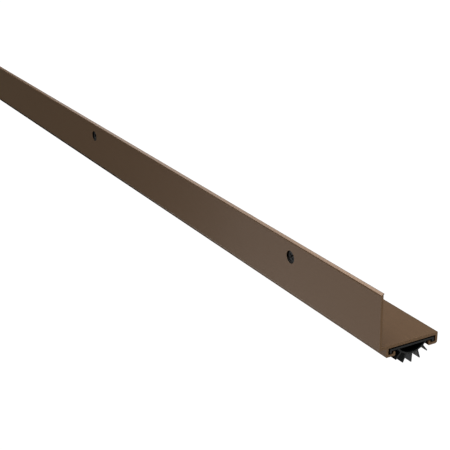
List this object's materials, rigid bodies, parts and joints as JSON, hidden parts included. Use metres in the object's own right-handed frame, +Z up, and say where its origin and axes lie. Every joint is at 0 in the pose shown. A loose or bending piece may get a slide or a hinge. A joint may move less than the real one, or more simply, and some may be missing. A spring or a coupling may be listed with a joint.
{
  "type": "door sweep",
  "caption": "L-shaped aluminium door bottom that screws to a door's face, with a slide-in black vinyl insert whose fins brush the threshold.",
  "frame": {"origin": "the middle of the plate's top face, where the door's bottom edge sits", "axes": "+X along the bar, +Y through the door from the screwed flange towards the free edge, +Z up"},
  "size_m": [0.9144, 0.0363, 0.0409],
  "materials": {
    "bronze_aluminium": "dark bronze coating with a satin sheen and fine lines along the bar",
    "black_vinyl": "flexible black vinyl, semi-matt, with faint drawing lines along its length",
    "black_screw": "black oxide, semi-matt, darker round the head's edge"
  },
  "bodies": {
    "carrier": {"carrier_extrusion": "bronze_aluminium"},
    "insert": {"fin_insert": "black_vinyl"},
    "screw_1": {"screw_1": "black_screw"},
    "screw_2": {"screw_2": "black_screw"},
    "screw_3": {"screw_3": "black_screw"},
    "screw_4": {"screw_4": "black_screw"}
  },
  "joints": [
    {"name": "insert_slide", "type": "slide", "parent": "carrier", "child": "insert", "axis": [1, 0, 0], "range_m": [-0.9144, 0.9144]},
    {"name": "screw_1_turn", "type": "hinge", "parent": "carrier", "child": "screw_1", "pos_m": [0.381, -0.01894, 0.0188], "axis": [0, 0.9997, 0.0262], "continuous": true},
    {"name": "screw_2_turn", "type": "hinge", "parent": "carrier", "child": "screw_2", "pos_m": [0.127, -0.01894, 0.0188], "axis": [0, 0.9997, 0.0262], "continuous": true},
    {"name": "screw_3_turn", "type": "hinge", "parent": "carrier", "child": "screw_3", "pos_m": [-0.127, -0.01894, 0.0188], "axis": [0, 0.9997, 0.0262], "continuous": true},
    {"name": "screw_4_turn", "type": "hinge", "parent": "carrier", "child": "screw_4", "pos_m": [-0.381, -0.01894, 0.0188], "axis": [0, 0.9997, 0.0262], "continuous": true}
  ]
}
